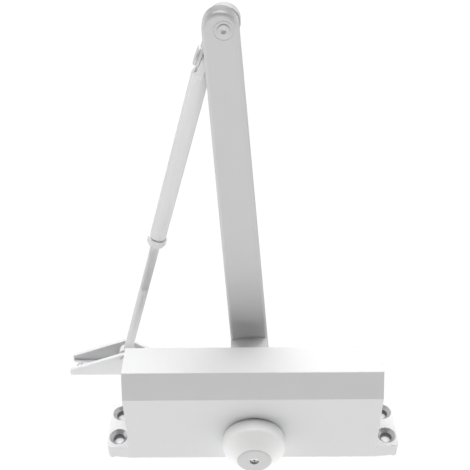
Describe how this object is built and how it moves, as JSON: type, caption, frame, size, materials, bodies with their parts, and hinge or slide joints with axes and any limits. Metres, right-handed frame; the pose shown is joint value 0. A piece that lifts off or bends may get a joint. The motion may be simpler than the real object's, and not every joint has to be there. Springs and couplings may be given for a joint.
{
  "type": "door closer",
  "caption": "White rack-and-pinion door closer: bevelled cast body with fixing lugs and round pinion cap, channel main arm, forked elbow, adjustable forearm and folded fixing shoe.",
  "frame": {"origin": "centre of the four fixing holes on the mounting face", "axes": "+Z away from the door, +X along the body towards the valve end, +Y along the pinion from the cap side to the arm side"},
  "size_m": [0.2223, 0.1066, 0.277],
  "materials": {
    "casting_paint": "white powder coat on die-cast aluminium, fine orange peel",
    "arm_paint": "white stoved paint on steel",
    "cap_plastic": "moulded white plastic, fine matt",
    "plug_steel": "turned and zinc plated",
    "bearing_steel": "turned steel",
    "pinion_steel": "hardened and ground",
    "zinc_steel": "zinc plated",
    "spring_steel": "oil-tempered wire",
    "piston_iron": "ground outside, hobbed rack",
    "ball_steel": "polished",
    "brass": "turned",
    "rubber": "moulded"
  },
  "bodies": {
    "housing": {"body_casting": "casting_paint", "end_plug_left": "plug_steel", "end_plug_right": "plug_steel", "end_seal_left": "rubber", "end_seal_right": "rubber", "bearing_front": "bearing_steel", "bearing_rear": "bearing_steel", "shaft_seal_front": "rubber", "shaft_seal_rear": "rubber", "spring_seat": "bearing_steel", "main_spring": "spring_steel"},
    "spindle": {"pinion_shaft": "pinion_steel", "pinion_cap": "cap_plastic", "cap_screw": "zinc_steel", "main_arm": "arm_paint", "arm_hub": "arm_paint", "arm_washer": "zinc_steel", "arm_screw": "zinc_steel", "elbow_rivet": "arm_paint"},
    "piston": {"piston": "piston_iron", "piston_ring": "rubber", "check_seat": "brass", "check_ball": "ball_steel"},
    "closing_valve": {"closing_valve": "brass", "closing_valve_seal": "rubber"},
    "latching_valve": {"latching_valve": "brass", "latching_valve_seal": "rubber"},
    "knuckle": {"elbow_knuckle": "arm_paint", "elbow_pin": "arm_paint"},
    "forearm": {"forearm_tube": "arm_paint", "lock_nut": "arm_paint"},
    "rod": {"adjusting_rod": "arm_paint"},
    "shoe": {"shoe": "arm_paint", "shoe_pin": "arm_paint"}
  },
  "joints": [
    {"name": "spindle", "type": "hinge", "parent": "housing", "child": "spindle", "pos_m": [0.0008, 0, 0.0202], "axis": [0, -1, 0], "range_deg": [0, 170], "stiffness_Nm_per_rad": 3, "springref_deg": -114.59},
    {"name": "piston_slide", "type": "slide", "parent": "housing", "child": "piston", "axis": [1, 0, 0], "range_m": [-0.0209, 0.0001], "deforming": ["main_spring"]},
    {"name": "closing_valve_turn", "type": "hinge", "parent": "housing", "child": "closing_valve", "pos_m": [0.07, -0.0065, 0.0615], "axis": [1, 0, 0], "range_deg": [-180, 180]},
    {"name": "latching_valve_turn", "type": "hinge", "parent": "housing", "child": "latching_valve", "pos_m": [0.07, 0.0065, 0.0615], "axis": [1, 0, 0], "range_deg": [-180, 180]},
    {"name": "elbow", "type": "hinge", "parent": "spindle", "child": "knuckle", "pos_m": [-0.01361, 0.0455, 0.26788], "axis": [0, 1, 0], "range_deg": [-10, 150]},
    {"name": "forearm_tilt", "type": "hinge", "parent": "knuckle", "child": "forearm", "pos_m": [-0.02398, 0.0455, 0.2469], "axis": [0.9336, 0, -0.3584], "range_deg": [-4, 12]},
    {"name": "rod_extension", "type": "slide", "parent": "forearm", "child": "rod", "axis": [-0.2667, 0.0635, -0.9617], "range_m": [-0.02, 0.025]},
    {"name": "shoe_pivot", "type": "hinge", "parent": "rod", "child": "shoe", "pos_m": [-0.08831, 0.06081, 0.01494], "axis": [0, 1, 0], "range_deg": [-70, 70]}
  ],
  "couplings": [
    {"joint": "piston_slide", "follows": "spindle", "m_per_rad": -0.007}
  ]
}
